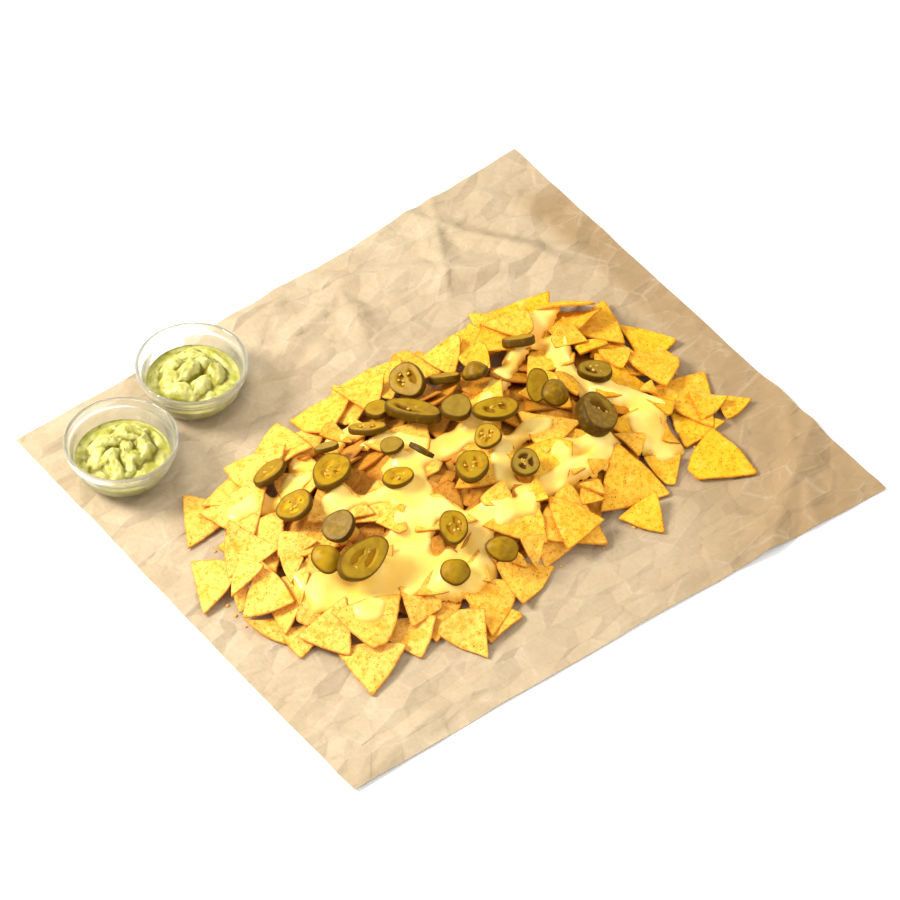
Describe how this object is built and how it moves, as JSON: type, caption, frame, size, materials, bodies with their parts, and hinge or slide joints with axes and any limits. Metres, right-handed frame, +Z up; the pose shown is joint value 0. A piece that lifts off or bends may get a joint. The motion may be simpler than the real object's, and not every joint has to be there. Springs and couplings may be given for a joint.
{
  "type": "nachos with cheese sauce",
  "caption": "Low heap of corn chips with cheese sauce and jalapeno slices on crumpled brown baking paper, with small glass pots of guacamole beside it.",
  "frame": {"origin": "on the table under the middle of the sheet of baking paper", "axes": "+X along the sheet's long side, +Y along its short side towards the corner with the glass pots, +Z up"},
  "size_m": [0.43, 0.398, 0.0467],
  "materials": {
    "baking_paper": "crumpled brown baking paper, faint sheen",
    "corn_chip": "toasted corn chip, dry and speckled",
    "cheese_sauce": "smooth wet cheese sauce",
    "jalapeno": "wet pickled jalapeno",
    "clear_glass": "clear, smooth",
    "guacamole": "soft, moist, lumpy"
  },
  "bodies": {
    "root": {"paper_sheet": "baking_paper", "chip_heap": "corn_chip", "loose_chip_1": "corn_chip", "loose_chip_2": "corn_chip", "loose_chip_3": "corn_chip", "loose_chip_4": "corn_chip", "loose_chip_5": "corn_chip", "loose_chip_6": "corn_chip", "loose_chip_7": "corn_chip", "cheese_sauce": "cheese_sauce", "jalapeno_01": "jalapeno", "jalapeno_02": "jalapeno", "jalapeno_03": "jalapeno", "jalapeno_04": "jalapeno", "jalapeno_05": "jalapeno", "jalapeno_06": "jalapeno", "jalapeno_07": "jalapeno", "jalapeno_08": "jalapeno", "jalapeno_09": "jalapeno", "jalapeno_10": "jalapeno", "jalapeno_11": "jalapeno", "jalapeno_12": "jalapeno", "jalapeno_13": "jalapeno", "jalapeno_14": "jalapeno", "jalapeno_15": "jalapeno", "jalapeno_16": "jalapeno", "jalapeno_17": "jalapeno", "jalapeno_18": "jalapeno", "jalapeno_19": "jalapeno", "jalapeno_20": "jalapeno", "jalapeno_21": "jalapeno", "jalapeno_22": "jalapeno", "jalapeno_23": "jalapeno", "jalapeno_24": "jalapeno", "jalapeno_25": "jalapeno", "jalapeno_26": "jalapeno", "jalapeno_27": "jalapeno", "jalapeno_28": "jalapeno", "jalapeno_29": "jalapeno", "glass_pot_back": "clear_glass", "glass_pot_left": "clear_glass", "guacamole_back": "guacamole", "guacamole_left": "guacamole"}
  },
  "joints": []
}
